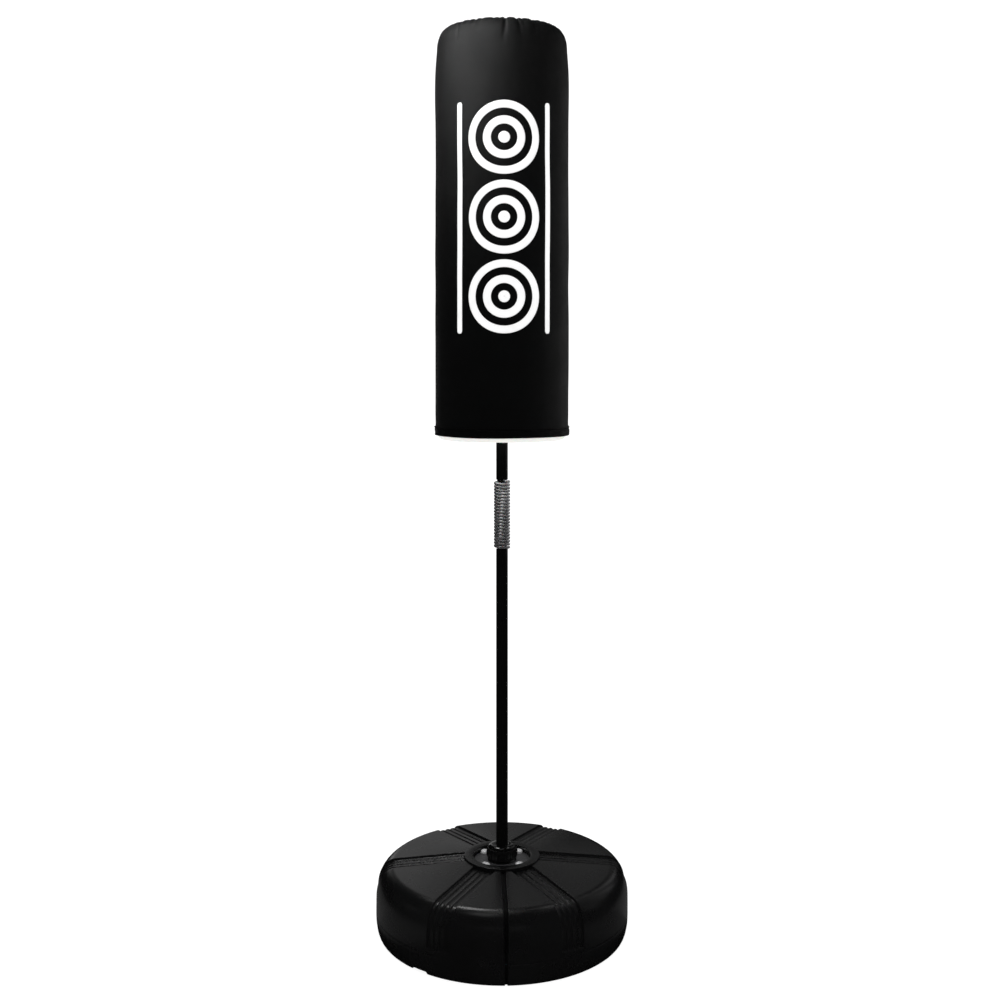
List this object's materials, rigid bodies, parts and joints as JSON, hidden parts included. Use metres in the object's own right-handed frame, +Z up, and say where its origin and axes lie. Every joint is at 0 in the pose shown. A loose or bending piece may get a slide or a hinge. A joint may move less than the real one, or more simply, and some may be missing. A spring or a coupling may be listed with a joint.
{
  "type": "free-standing punching bag",
  "caption": "Tall padded cylinder bag on a sprung steel pole that stands in a bolted hub on a round fillable base.",
  "frame": {"origin": "middle of the base's underside, on the floor", "axes": "+Z up along the pole; the front, with the base's single groove, faces -Y; +X is to the right seen from the front"},
  "size_m": [0.47, 0.47, 1.682],
  "materials": {
    "shell_plastic": "satin black moulded",
    "water": "water",
    "cap_plastic": "satin black",
    "rubber": "matte black",
    "plate_metal": "grey textured powder coat",
    "zinc": "bright zinc plated",
    "brass": "turned",
    "pole_paint": "satin black",
    "gloss_black": "gloss black",
    "collar_plastic": "ribbed black",
    "nylon": "natural nylon",
    "spring_steel": "bright plated wire",
    "foam": "white closed-cell foam",
    "cover_fabric": "black woven nylon, soft sheen",
    "hem_fabric": "black folded binding",
    "liner_plastic": "grey tube"
  },
  "bodies": {
    "base": {"base_shell": "shell_plastic", "ballast_fill": "water", "mounting_plate": "plate_metal", "plate_bolt_1": "zinc", "plate_bolt_2": "zinc", "plate_bolt_3": "zinc", "plate_bolt_4": "zinc", "threaded_insert_1": "brass", "threaded_insert_2": "brass", "threaded_insert_3": "brass", "threaded_insert_4": "brass", "pole_socket": "pole_paint", "pole_bush": "nylon", "socket_flange": "gloss_black", "lower_pole": "pole_paint", "lower_spring_plug": "zinc"},
    "spring_middle": {"coil_spring": "spring_steel"},
    "bag": {"upper_spring_plug": "zinc", "upper_pole": "pole_paint", "pole_end_cap": "cap_plastic", "core_tube": "liner_plastic", "core_plug": "nylon", "foam_core": "foam", "cover_body": "cover_fabric", "cover_top": "cover_fabric", "cover_hem": "hem_fabric"},
    "collar_cap": {"collar_cap": "gloss_black"},
    "lock_collar": {"lock_collar": "collar_plastic"},
    "filler_gasket": {"filler_gasket": "rubber"},
    "filler_cap": {"filler_cap": "cap_plastic"}
  },
  "joints": [
    {"name": "spring_bend_front_back", "type": "hinge", "parent": "base", "child": "spring_middle", "pos_m": [0, 0, 0.7425], "axis": [1, 0, 0], "range_deg": [-30, 30], "stiffness_Nm_per_rad": 170, "deforming": ["coil_spring"]},
    {"name": "spring_bend_side", "type": "hinge", "parent": "spring_middle", "child": "bag", "pos_m": [0, 0, 0.8075], "axis": [0, 1, 0], "range_deg": [-30, 30], "stiffness_Nm_per_rad": 170, "deforming": ["coil_spring"]},
    {"name": "collar_rise", "type": "slide", "parent": "base", "child": "collar_cap", "axis": [0, 0, 1], "range_m": [0, 0.006]},
    {"name": "collar_turn", "type": "hinge", "parent": "collar_cap", "child": "lock_collar", "pos_m": [0, 0, 0.1313], "axis": [0, 0, 1], "range_deg": [0, 1080]},
    {"name": "filler_back_out", "type": "slide", "parent": "base", "child": "filler_gasket", "axis": [0, 1, 0], "range_m": [0, 0.012]},
    {"name": "filler_cap_turn", "type": "hinge", "parent": "filler_gasket", "child": "filler_cap", "pos_m": [0, 0.2251, 0.082], "axis": [0, 1, 0], "range_deg": [0, 1080]}
  ],
  "couplings": [
    {"joint": "collar_rise", "follows": "collar_turn", "m_per_rad": 0.0003183},
    {"joint": "filler_back_out", "follows": "filler_cap_turn", "m_per_rad": 0.0006366}
  ]
}
